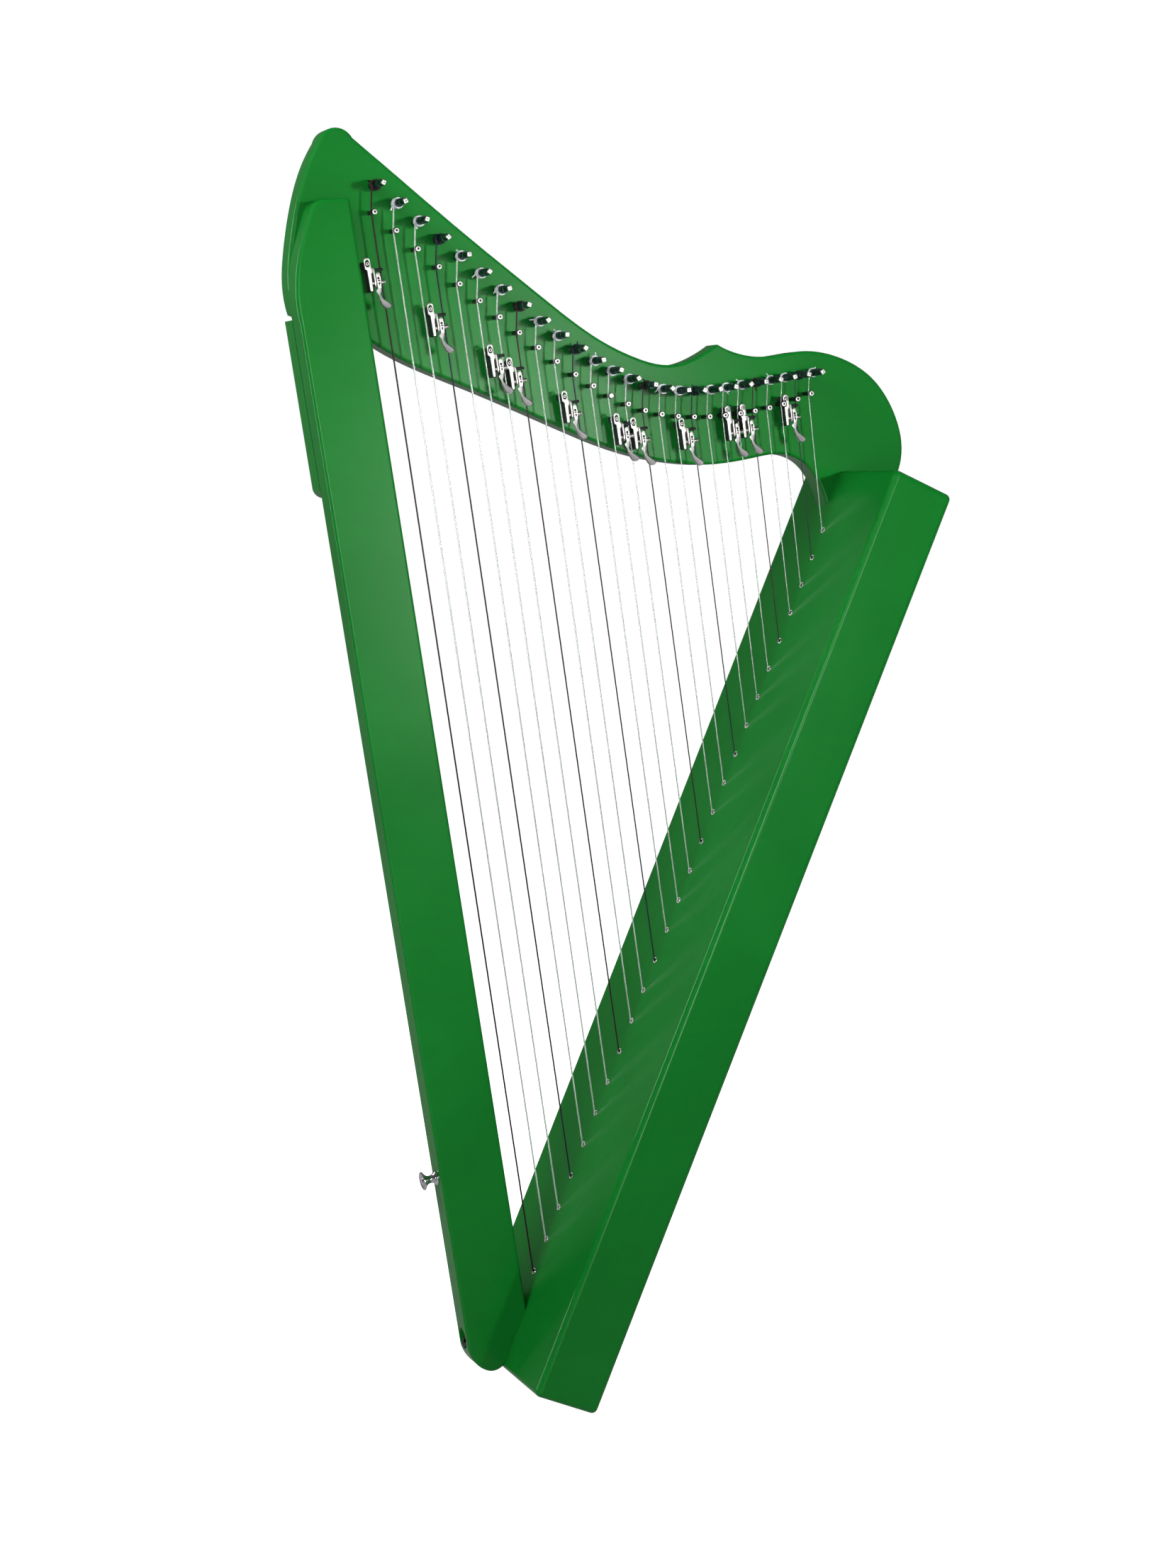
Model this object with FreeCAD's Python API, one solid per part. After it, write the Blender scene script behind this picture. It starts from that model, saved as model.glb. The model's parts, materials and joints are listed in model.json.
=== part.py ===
import FreeCAD, Part
import math
import os

os.makedirs("parts", exist_ok=True)
V = FreeCAD.Vector

# ---------------------------------------------------------------- driving sizes (mm)
# Frame: string plane is y = 0, +Z up, +X from the pillar towards the soundbox.
BOX_TILT = 66.76          # soundboard leans this far above the horizontal
BOX_LENGTH = 672.0        # along the soundboard
BOX_DEPTH = 48.0          # soundboard face to back face
BOX_NEAR = -73.0          # outside of the near side panel (y)
BOX_FAR = 63.0            # outside of the far side panel (y)
BOX_ROUND = 4.0           # rounding of every outer edge of the box
BOARD_T = 4.0             # soundboard thickness
SIDE_T = 6.0              # side panel thickness
BACK_T = 4.0              # back panel thickness
TOP_BLOCK = 22.0          # end block at the neck
BOTTOM_BLOCK = 26.0       # end block at the pillar foot

PILLAR_FRONT = -10.0      # near face of the pillar board (y)
NECK_FRONT = 9.4          # near face of the neck board, which laps behind the pillar
NECK_BACK = 27.4          # far face of the neck board
EDGE_ROUND = 2.0          # rounding along the edges of both boards
PILLAR_W = 45.8           # pillar board width
PILLAR_LEAN = 0.1603      # sideways run per mm of height

STRINGS = 26
FIRST_EYELET = 69.0       # from the lower end of the box to eyelet 1
EYELET_STEP = 23.7        # spacing at the bass end
EYELET_SHRINK = 0.12      # spacing lost per string
BRIDGE_X = -105.2         # bridge pin 1
BRIDGE_STEP = 14.9        # sideways spacing of the bridge pins at the bass end
BRIDGE_SHRINK = 0.179
PIN_OFFSET = 2.0          # tuning pin sits this far to the right of its bridge pin

PIN_R = 2.6               # tuning pin shank
PIN_TIP = -15.6           # y of the square end
PIN_ROOT = 24.4           # y of the buried end
SQUARE = 3.7              # side of the square drive
SQUARE_LEN = 7.5
FIT = 0.05                # running clearance on radius
STUD_R = 1.5              # bridge pin
LEVERS = (1, 4, 7, 8, 11, 14, 15, 18, 21, 22, 25)
RED = (1, 8, 15, 22)      # C strings
BLACK = (4, 11, 18, 25)   # F strings


# ---------------------------------------------------------------- helpers
def save(name, shapes):
    if not isinstance(shapes, (list, tuple)):
        shapes = [shapes]
    shape = shapes[0] if len(shapes) == 1 else Part.makeCompound(list(shapes))
    shape.exportStep("parts/" + name + ".step")


def at(x, z, y=0.0):
    return V(x, y, z)


def prism(wire, y0, y1):
    face = Part.Face(wire)
    face.translate(V(0, y0 - face.BoundBox.YMin, 0))
    return face.extrude(V(0, y1 - y0, 0))


def curve(points):
    spline = Part.BSplineCurve()
    spline.interpolate([at(x, z) for x, z in points])
    return spline.toShape()


def line(a, b):
    return Part.makeLine(at(*a), at(*b))


def arc(a, b, c):
    return Part.Arc(at(*a), at(*b), at(*c)).toShape()


def edges_at(solid, plane):
    # edges lying in the plane y = plane
    picked = []
    for edge in solid.Edges:
        box = edge.BoundBox
        if abs(box.YMin - plane) < 1e-3 and abs(box.YMax - plane) < 1e-3:
            picked.append(edge)
    return picked


def middle_of(edge):
    return edge.valueAt((edge.FirstParameter + edge.LastParameter) / 2)


def rod(points, radius):
    solid = None
    for start, end in zip(points[:-1], points[1:]):
        piece = Part.makeCylinder(radius, (end - start).Length, start, end - start)
        solid = piece if solid is None else solid.fuse(piece)
        if end is not points[-1]:
            solid = solid.fuse(Part.makeSphere(radius * 1.04, end))
    return solid.removeSplitter()


# ---------------------------------------------------------------- soundbox frame
ALONG = V(math.cos(math.radians(BOX_TILT)), 0, math.sin(math.radians(BOX_TILT)))
INTO = V(ALONG.z, 0, -ALONG.x)
CORNER = INTO * (-BOX_DEPTH / 2)
BOX_MID = (BOX_NEAR + BOX_FAR) / 2


def on_box(s, t, y=0.0):
    # s along the soundboard from the lower end, t inwards from its face
    return CORNER + ALONG * s + INTO * t + V(0, y, 0)


def box_block(s0, s1, t0, t1, y0, y1):
    block = Part.makeBox(t1 - t0, y1 - y0, s1 - s0, V(t0, y0, s0))
    block.rotate(V(0, 0, 0), V(0, 1, 0), 90 - BOX_TILT)
    block.translate(CORNER)
    return block


envelope = box_block(0, BOX_LENGTH, 0, BOX_DEPTH, BOX_NEAR, BOX_FAR)
envelope = envelope.makeFillet(BOX_ROUND, envelope.Edges)

# ---------------------------------------------------------------- string layout
BRIDGE_KNOTS = ((-105.2, 792.3), (-47.0, 748.0), (9.2, 707.3), (49.7, 682.1), (87.5, 666.4),
                (123.5, 662.5), (158.8, 665.3), (191.8, 672.0), (216.0, 680.5))
TUNING_KNOTS = ((-103.2, 809.9), (-44.9, 766.2), (11.3, 724.6), (51.8, 698.9), (89.7, 683.4),
                (125.7, 680.3), (171.4, 686.6), (218.0, 694.5))


def smooth(knots, x):
    # cubic Hermite curve through the knots
    slopes = []
    for k in range(len(knots)):
        a = knots[max(k - 1, 0)]
        b = knots[min(k + 1, len(knots) - 1)]
        slopes.append((b[1] - a[1]) / (b[0] - a[0]))
    k = 0
    while k < len(knots) - 2 and x > knots[k + 1][0]:
        k += 1
    x0, z0 = knots[k]
    x1, z1 = knots[k + 1]
    h = x1 - x0
    u = (x - x0) / h
    rise = (3 - 2 * u) * u * u
    left = u * (1 - u) * (1 - u)
    right = u * u * (u - 1)
    return z0 + (z1 - z0) * rise + h * (slopes[k] * left + slopes[k + 1] * right)


def string_radius(i):
    return 0.55 - 0.25 * i / (STRINGS - 1)


bridge = []
tuning = []
eyelet = []
for i in range(STRINGS):
    x = BRIDGE_X + BRIDGE_STEP * i - BRIDGE_SHRINK * i * (i - 1) / 2
    bridge.append(at(x, smooth(BRIDGE_KNOTS, x)))
    tuning.append(at(x + PIN_OFFSET, smooth(TUNING_KNOTS, x + PIN_OFFSET)))
    eyelet.append(FIRST_EYELET + EYELET_STEP * i - EYELET_SHRINK * i * (i - 1) / 2)

# ---------------------------------------------------------------- neck board
NECK_TAIL = 644.6         # how far up the box the neck's tail ends
TAIL_T = 43.4             # depth of the tail inside the box
tail_front = on_box(NECK_TAIL, 0)
tail_back = on_box(NECK_TAIL, TAIL_T)
tail_top = on_box(NECK_TAIL + 46.5, TAIL_T)
LEFT = ((-156.6, 726.0), (-160.2, 745.0), (-158.9, 769.6), (-154.3, 797.0), (-146.3, 823.0), (-139.0, 837.0))
CREST = ((-139.0, 837.0), (-127.0, 846.4), (-116.0, 840.4))
TOP_LEFT = ((-116.0, 840.4), (-41.8, 784.0), (18.7, 740.2), (60.1, 713.3), (84.0, 703.0), (112.9, 698.2),
            (133.0, 705.0), (144.0, 711.6))
TOP_RIGHT = ((148.5, 711.8), (162.0, 707.0), (179.0, 704.9), (212.0, 709.4), (244.5, 704.7), (267.3, 692.2),
             (286.0, 667.5), (292.6, 645.0), (tail_top.x, tail_top.z))
LOWER = ((-107.0, 711.0), (-86.0, 699.3), (-36.0, 680.0), (36.0, 652.0), (78.3, 637.5), (110.4, 631.5),
         (140.0, 630.0), (176.0, 635.0), (198.0, 637.4), (214.0, 631.5), (225.5, 618.0),
         (tail_front.x, tail_front.z))
neck_edges = [
    curve(LEFT),
    arc(*CREST),
    curve(TOP_LEFT),
    arc(TOP_LEFT[-1], (146.4, 712.6), TOP_RIGHT[0]),
    curve(TOP_RIGHT),
    line(TOP_RIGHT[-1], (tail_back.x, tail_back.z)),
    line((tail_back.x, tail_back.z), LOWER[-1]),
    curve(LOWER),
    line(LOWER[0], LEFT[0]),
]
neck = prism(Part.Wire(Part.__sortEdges__(neck_edges)), NECK_FRONT, NECK_BACK)
tail_zone = box_block(NECK_TAIL - 5, BOX_LENGTH + 4, 0, BOX_DEPTH, 0, 40)
for plane in (NECK_FRONT, NECK_BACK):
    rounded = [edge for edge in edges_at(neck, plane) if not tail_zone.isInside(middle_of(edge), 0.5, True)]
    neck = neck.makeFillet(EDGE_ROUND, rounded)

# ---------------------------------------------------------------- pillar board
lower = on_box(2.1, 0)
upper_s = 44.6
heel = on_box(upper_s, 0)


def inner_x(z):
    return heel.x - PILLAR_LEAN * (z - heel.z)


def outer_x(z):
    return inner_x(z) - PILLAR_W * math.hypot(1, PILLAR_LEAN)


HEAD_Z = 799.6
pillar_edges = [
    line((heel.x, heel.z), (inner_x(HEAD_Z), HEAD_Z)),
    line((inner_x(HEAD_Z), HEAD_Z), (-142.5, 798.0)),
    curve(((-142.5, 798.0), (-147.6, 795.6), (-153.2, 783.0), (-158.4, 764.0), (-160.8, 745.0),
           (outer_x(718.0), 718.0))),
    line((outer_x(718.0), 718.0), (outer_x(27.0), 27.0)),
    curve(((outer_x(27.0), 27.0), (-41.0, 14.8), (-30.0, 8.4), (lower.x, lower.z))),
    line((lower.x, lower.z), (heel.x, heel.z)),
]
pillar = prism(Part.Wire(Part.__sortEdges__(pillar_edges)), PILLAR_FRONT, NECK_FRONT)
for plane in (PILLAR_FRONT, NECK_FRONT):
    rounded = []
    for edge in edges_at(pillar, plane):
        middle = middle_of(edge)
        if abs((middle - heel).dot(INTO)) > 0.5:
            rounded.append(edge)
    pillar = pillar.makeFillet(EDGE_ROUND, rounded)

# strip that packs out the pillar's back, in the plane of the neck
BACKER_END = 607.0
backer_edges = [
    line((outer_x(722.0), 722.0), (outer_x(BACKER_END + 6), BACKER_END + 6)),
    arc((outer_x(BACKER_END + 6), BACKER_END + 6), (-137.8, BACKER_END + 1.4), (-133.0, BACKER_END)),
    line((-133.0, BACKER_END), (inner_x(BACKER_END) - 1.5, BACKER_END + 4)),
    line((inner_x(BACKER_END) - 1.5, BACKER_END + 4), (inner_x(708.0) - 1.5, 708.0)),
    line((inner_x(708.0) - 1.5, 708.0), (outer_x(722.0), 722.0)),
]
backer = prism(Part.Wire(Part.__sortEdges__(backer_edges)), NECK_FRONT, NECK_BACK)
backer = backer.cut(prism(Part.Wire(Part.__sortEdges__(neck_edges)), NECK_FRONT - 1, NECK_BACK + 1))
rounded = [edge for edge in edges_at(backer, NECK_BACK) if middle_of(edge).z < 704]
backer = backer.makeFillet(EDGE_ROUND, rounded)

# bolt that pulls the foot of the pillar onto the soundbox
BOLT_S = 10.0
BOLT_HEAD_T = -24.0
BOLT_END_T = 20.0
counterbore = Part.makeCylinder(6.4, 40, on_box(BOLT_S, BOLT_HEAD_T), INTO * -1)
shank_hole = Part.makeCylinder(3.0, 60, on_box(BOLT_S, -30), INTO)
pillar = pillar.cut(counterbore).cut(shank_hole)
bolt = Part.makeCylinder(5.0, 6.0, on_box(BOLT_S, BOLT_HEAD_T), INTO * -1)
bolt = bolt.fuse(Part.makeCylinder(3.0, BOLT_END_T - BOLT_HEAD_T, on_box(BOLT_S, BOLT_HEAD_T), INTO))
hexagon = []
for k in range(7):
    a = math.radians(60 * k)
    hexagon.append(on_box(BOLT_S + 2.9 * math.cos(a), BOLT_HEAD_T - 6.5, 2.9 * math.sin(a)))
bolt = bolt.cut(Part.Face(Part.makePolygon(hexagon)).extrude(INTO * 4.0)).removeSplitter()
save("pillar_bolt", bolt)


# strap buttons: flange, waist and flared head, turned about their own axis
def strap_button(base, out):
    profile = [(0, 0), (5.0, 0), (5.0, 1.6), (3.2, 2.6), (2.6, 5.0), (3.4, 7.6), (6.4, 9.4), (6.4, 10.6),
               (0, 11.0)]
    wire = Part.makePolygon([V(r, 0, h) for r, h in profile] + [V(0, 0, 0)])
    solid = Part.Face(wire).revolve(V(0, 0, 0), V(0, 0, 1), 360)
    solid = solid.fuse(Part.makeCylinder(2.0, 14.0, V(0, 0, -14.0)))
    turn = FreeCAD.Rotation(V(0, 0, 1), out)
    solid.Placement = FreeCAD.Placement(base, turn)
    return solid


edge_out = V(-1, 0, -PILLAR_LEAN).normalize()
BUTTON_Z = 146.5
button_low = at(outer_x(BUTTON_Z), BUTTON_Z, -0.3)
button_high = on_box(640.0, BOX_DEPTH, BOX_MID - 24)
buttons = [strap_button(button_low, edge_out), strap_button(button_high, INTO)]
screw_low = Part.makeCylinder(2.0, 14.0, button_low, edge_out * -1)
screw_high = Part.makeCylinder(2.0, 14.0, button_high, INTO * -1)
pillar = pillar.cut(screw_low)
save("strap_buttons", buttons)
save("pillar", pillar)
save("pillar_backer", backer)

# ---------------------------------------------------------------- tuning pins and bridge pins
TURNS = 5                 # turns of string packed round each pin
for i in range(STRINGS):
    centre = tuning[i]
    depth = PIN_ROOT + FIT - NECK_FRONT + 1
    neck = neck.cut(Part.makeCylinder(PIN_R + FIT, depth, centre + V(0, NECK_FRONT - 1, 0), V(0, 1, 0)))
    # shank and winding are one turned profile: distance from the axis, then y
    wound = 2 * string_radius(i)
    foot = PIN_R + 0.12
    edge_y = wound / 2 + 0.08
    profile = [line((0, PIN_ROOT), (PIN_R - 0.5, PIN_ROOT))]
    profile.append(line((PIN_R - 0.5, PIN_ROOT), (PIN_R, PIN_ROOT - 0.8)))
    profile.append(line((PIN_R, PIN_ROOT - 0.8), (PIN_R, edge_y + TURNS * wound)))
    profile.append(line((PIN_R, edge_y + TURNS * wound), (foot, edge_y + TURNS * wound)))
    for k in range(TURNS, 0, -1):
        y = edge_y + k * wound
        profile.append(arc((foot, y), (PIN_R + wound, y - wound / 2), (foot, y - wound)))
    profile.append(line((foot, edge_y), (PIN_R, edge_y)))
    profile.append(line((PIN_R, edge_y), (PIN_R, PIN_TIP + SQUARE_LEN + 0.5)))
    profile.append(line((PIN_R, PIN_TIP + SQUARE_LEN + 0.5), (PIN_R - 0.5, PIN_TIP + SQUARE_LEN)))
    profile.append(line((PIN_R - 0.5, PIN_TIP + SQUARE_LEN), (0, PIN_TIP + SQUARE_LEN)))
    profile.append(line((0, PIN_TIP + SQUARE_LEN), (0, PIN_ROOT)))
    pin = Part.Face(Part.Wire(Part.__sortEdges__(profile))).revolve(V(0, 0, 0), V(0, 0, 1), 360)
    pin.rotate(V(0, 0, 0), V(1, 0, 0), -90)
    pin.translate(centre)
    half = SQUARE / 2
    square = Part.makeBox(SQUARE, SQUARE_LEN + 1, SQUARE, centre + V(-half, PIN_TIP, -half))
    square.rotate(centre, V(0, 1, 0), 28 + 37 * i)
    turned = Part.makeCylinder(PIN_R - 0.2, SQUARE_LEN + 1, centre + V(0, PIN_TIP, 0), V(0, 1, 0))
    square = square.common(turned)
    save("tuning_pin_%02d" % (i + 1), pin.fuse(square).removeSplitter())

studs = []
for i in range(STRINGS):
    centre = bridge[i]
    neck = neck.cut(Part.makeCylinder(STUD_R, 11, centre + V(0, NECK_FRONT, 0), V(0, 1, 0)))
    stud = Part.makeCylinder(STUD_R, NECK_FRONT + 11 - 1.2, centre + V(0, 1.2, 0), V(0, 1, 0))
    stud = stud.fuse(Part.makeCylinder(STUD_R - 0.35, 2.4, centre + V(0, -1.2, 0), V(0, 1, 0)))
    head = Part.makeCylinder(STUD_R + 0.5, 1.4, centre + V(0, -2.6, 0), V(0, 1, 0))
    head = head.makeFillet(0.5, [head.Edges[0], head.Edges[2]])
    slot = Part.makeBox(6, 0.7, 0.6, centre + V(-3, -3.0, -0.3))
    slot.rotate(centre, V(0, 1, 0), 40 + 51 * i)
    studs.append(stud.fuse(head).cut(slot).removeSplitter())
save("bridge_pins", studs)

# ---------------------------------------------------------------- soundbox
RIB_W = 22.0
RIB_T = 5.0
HOLE_R = 1.6
whole = (-1, BOX_LENGTH + 1)
inner = (BOX_NEAR + SIDE_T, BOX_FAR - SIDE_T)
between = (BOARD_T, BOX_DEPTH - BACK_T)
soundboard = envelope.common(box_block(*whole, -1, BOARD_T, BOX_NEAR - 1, BOX_FAR + 1))
side_near = envelope.common(box_block(*whole, BOARD_T, BOX_DEPTH + 1, BOX_NEAR - 1, inner[0]))
side_far = envelope.common(box_block(*whole, BOARD_T, BOX_DEPTH + 1, inner[1], BOX_FAR + 1))
back = envelope.common(box_block(*whole, BOX_DEPTH - BACK_T, BOX_DEPTH + 1, *inner))
top_block = envelope.common(box_block(BOX_LENGTH - TOP_BLOCK, BOX_LENGTH + 1, *between, *inner))
bottom_block = envelope.common(box_block(-1, BOTTOM_BLOCK, *between, *inner))
rib = box_block(BOTTOM_BLOCK, NECK_TAIL - 1, BOARD_T, BOARD_T + RIB_T, -RIB_W / 2, RIB_W / 2)

# slot for the neck's tail, open at the top end
slot = box_block(NECK_TAIL, BOX_LENGTH + 5, -5, TAIL_T, NECK_FRONT, NECK_BACK)
soundboard = soundboard.cut(slot)
top_block = top_block.cut(slot)
soundboard = soundboard.cut(shank_hole)
bottom_block = bottom_block.cut(Part.makeCylinder(3.0, BOLT_END_T + 5, on_box(BOLT_S, -5), INTO))

eyelets = []
knots = []
for i in range(STRINGS):
    mouth = on_box(eyelet[i], 0)
    through = Part.makeCylinder(HOLE_R, BOARD_T + RIB_T + 2, mouth - INTO, INTO)
    soundboard = soundboard.cut(through)
    rib = rib.cut(through)
    ring = Part.makeCylinder(2.1, 0.7, mouth - INTO * 0.7, INTO)
    ring = ring.fuse(Part.makeCylinder(HOLE_R, BOARD_T, mouth, INTO))
    ring = ring.cut(Part.makeCylinder(1.1, BOARD_T + 4, mouth - INTO * 2, INTO)).removeSplitter()
    eyelets.append(ring)
    knots.append(Part.makeCylinder(2.3, 3.0, on_box(eyelet[i], BOARD_T + RIB_T), INTO))
save("soundboard_eyelets", eyelets)
save("string_knots", knots)
save("soundboard", soundboard)
save("string_rib", rib)
save("side_near", side_near)
save("side_far", side_far)

# three oval access holes in the back, for reaching the knots
HOLE_LONG = 92.0
HOLE_WIDE = 54.0
for centre_s in (150.0, 320.0, 490.0):
    straight = HOLE_LONG - HOLE_WIDE
    cut = box_block(centre_s - straight / 2, centre_s + straight / 2, BOX_DEPTH - 9, BOX_DEPTH + 2,
                    BOX_MID - HOLE_WIDE / 2, BOX_MID + HOLE_WIDE / 2)
    for end in (-straight / 2, straight / 2):
        end_centre = on_box(centre_s + end, BOX_DEPTH - 9, BOX_MID)
        cut = cut.fuse(Part.makeCylinder(HOLE_WIDE / 2, 11, end_centre, INTO))
    back = back.cut(cut)
back = back.cut(screw_high)
top_block = top_block.cut(screw_high)
save("back_panel", back)
save("top_block", top_block)

# threaded insert for a stand leg, in the middle of the lower end
INSERT_R = 5.0
INSERT_LEN = 14.0
insert_at = on_box(0, BOX_DEPTH / 2, -8.0)
insert_body = Part.makeCylinder(INSERT_R, INSERT_LEN, insert_at, ALONG)
bottom_block = bottom_block.cut(insert_body)
save("stand_insert", insert_body.cut(Part.makeCylinder(3.2, INSERT_LEN - 1, insert_at, ALONG)))
save("bottom_block", bottom_block)

# ---------------------------------------------------------------- sharpening levers
FRET_RATIO = 0.0595       # fret distance below the bridge pin per mm of string
FRET_BASE = -6.0
FRET_MIN = 4.4
AXLE_V = -8.2             # axle below the fret bar
AXLE_Y = -2.7
NOTCH_R = 2.2             # notch round a neighbouring bridge pin
bases = []
plates = []
screws = []
lever_frames = []
for number, string in enumerate(LEVERS, 1):
    i = string - 1
    low = on_box(eyelet[i], 0)
    up = (bridge[i] - low).normalize()
    right = V(up.z, 0, -up.x)
    length = (bridge[i] - low).Length
    drop = max(FRET_MIN, FRET_RATIO * length + FRET_BASE)
    touch = bridge[i] - V(STUD_R + string_radius(i) - 0.3, 0, 0) - up * drop

    def local(u, v, y, touch=touch, up=up, right=right):
        return touch + right * u + up * v + V(0, y, 0)

    def slab(points, y0, y1):
        corners = [local(u, v, y0) for u, v in points]
        corners.append(corners[0])
        return Part.Face(Part.makePolygon(corners)).extrude(V(0, y1 - y0, 0))

    def bar(radius, u0, u1, v, y):
        return Part.makeCylinder(radius, u1 - u0, local(u0, v, y), right)

    def post(radius, u, v, y0, y1):
        return Part.makeCylinder(radius, y1 - y0, local(u, v, y0), V(0, 1, 0))

    # where the next string's bridge pin comes close, the tab is moved and notched round it
    beside = bridge[max(i - 1, 0)] - touch
    beside_v = beside.dot(up)
    crowded = i > 0 and beside_v < 8
    notch = post(NOTCH_R, beside.dot(right), beside_v, -4, NECK_FRONT)
    tab_u = -7.9 if crowded else -8.7
    screw_v = beside_v + 3.4 if crowded else 4.6
    tab_top = screw_v + (0.8 if crowded else 1.9)
    base_u = -7.6 if crowded else -8.3
    fret_end = 0.7 if crowded or string + 1 in LEVERS else 1.1

    axle_hole = bar(1.05, -9.0, -3.0, AXLE_V, AXLE_Y)
    # black spacer standing on the neck, with the fret bar reaching over the string
    base = slab([(base_u, -13.6), (-6.2, -13.6), (-6.2, 1.6), (base_u, 1.6)], -1.2, NECK_FRONT)
    base = base.fuse(post(1.7, tab_u + 0.1, screw_v, -1.2, NECK_FRONT))
    arm_u = min(tab_u + 1.8, -6.2)
    arm = [(tab_u - 0.6, 0), (arm_u, 0), (arm_u, screw_v), (tab_u - 0.6, screw_v)]
    base = base.fuse(slab(arm, -1.2, NECK_FRONT))
    base = base.cut(axle_hole).cut(notch).removeSplitter()
    fret = bar(1.0, -5.2, fret_end, 0.0, -2.2)
    bases.extend([base, fret])
    # nickel plate: rounded tab, long leg and the cheek that carries the axle
    tab = [(tab_u - 2.1, 2.3), (tab_u + 2.1, 2.3), (tab_u + 2.1, tab_top), (tab_u - 2.1, tab_top)]
    plate = slab(tab, -2.4, -1.2)
    plate = plate.fuse([post(2.1, tab_u, tab_top, -2.4, -1.2), post(2.1, tab_u, 2.3, -2.4, -1.2)])
    plate = plate.fuse(slab([(-9.2, -13.2), (-7.4, -13.2), (-6.9, 1.0), (-9.5, 1.0)], -2.4, -1.2))
    plate = plate.fuse(slab([(-7.6, -1.4), (-5.2, -1.4), (-5.2, 1.4), (-7.6, 1.4)], -2.4, -1.2))
    cheek = slab([(-6.2, -11.0), (-5.2, -11.0), (-5.2, 1.4), (-6.2, 1.4)], -4.6, 4.0)
    plate = plate.fuse(cheek).cut(axle_hole).cut(notch)
    plate = plate.cut(post(1.15, tab_u, screw_v, -3.0, 0)).removeSplitter()
    plates.append(plate)
    screw = post(1.75, tab_u, screw_v, -3.3, -2.4)
    screw = screw.fuse(post(1.15, tab_u, screw_v, -2.4, -1.2))
    drive = 0.9
    socket = slab([(tab_u - drive, screw_v), (tab_u, screw_v - drive), (tab_u + drive, screw_v),
                   (tab_u, screw_v + drive)], -3.6, -2.7)
    screws.append(screw.cut(socket).removeSplitter())
    # handle: axle with its cam over the string, tapered body and a paddle bent outwards
    axle = bar(1.0, -7.4, -1.4, AXLE_V, AXLE_Y)
    cam = bar(1.45, -1.5, 1.3, AXLE_V, AXLE_Y)
    groove = bar(1.6, 0.2, 0.6, AXLE_V, AXLE_Y).cut(bar(1.1, 0.1, 0.7, AXLE_V, AXLE_Y))
    barrel = bar(1.9, -4.9, -2.4, AXLE_V, AXLE_Y)
    body = slab([(-4.9, -2.4), (-3.6, -1.7), (-2.2, -2.2), (-1.9, -5.2), (-2.1, -9.0), (-2.5, -13.4),
                 (-3.5, -15.2), (-3.7, -16.4), (-5.2, -16.4), (-5.9, -14.8), (-6.6, -12.9), (-5.4, -11.9),
                 (-4.9, -11.4)], -5.1, -4.0)
    body = body.cut(post(0.75, -3.5, -5.6, -6, -3))
    body = body.fuse(slab([(-4.3, -9.7), (-2.6, -9.7), (-2.6, -6.7), (-4.3, -6.7)], -4.2, -3.4))
    paddle = slab([(-5.2, -15.6), (-3.7, -15.6), (-2.8, -19.0), (-1.4, -20.5), (1.2, -22.2), (2.3, -24.2),
                   (-0.6, -26.2), (-4.0, -25.4), (-5.3, -19.9)], -5.1, -4.0)
    tip = post(1.6, 0.8, -24.4, -5.1, -4.0)
    paddle = paddle.fuse(tip)
    paddle.rotate(local(0, -15.8, -4.5), right, -22)
    handle = body.fuse([axle, cam, barrel, paddle]).cut(groove).removeSplitter()
    save("lever_handle_%02d" % number, handle)
    neck = neck.cut(post(1.0, tab_u + 0.1, screw_v, NECK_FRONT, NECK_FRONT + 6))
save("lever_bases", bases)
save("lever_plates", plates)
save("lever_screws", screws)
save("neck", neck)

# ---------------------------------------------------------------- strings
groups = {"strings_red": [], "strings_black": [], "strings_clear": []}
for i in range(STRINGS):
    r = string_radius(i)
    start = tuning[i] - V(PIN_R + r + 0.06, 0, 0)
    touch = bridge[i] - V(STUD_R - 0.35 + r + 0.03, 0, 0)
    mouth = on_box(eyelet[i], -1.1)
    end = on_box(eyelet[i], BOARD_T + RIB_T)
    path = [start, touch, mouth, end]
    colour = "strings_clear"
    if i + 1 in RED:
        colour = "strings_red"
    if i + 1 in BLACK:
        colour = "strings_black"
    groups[colour].append(rod(path, r))
for name in sorted(groups):
    save(name, groups[name])
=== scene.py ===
import json
import math
import random

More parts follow.
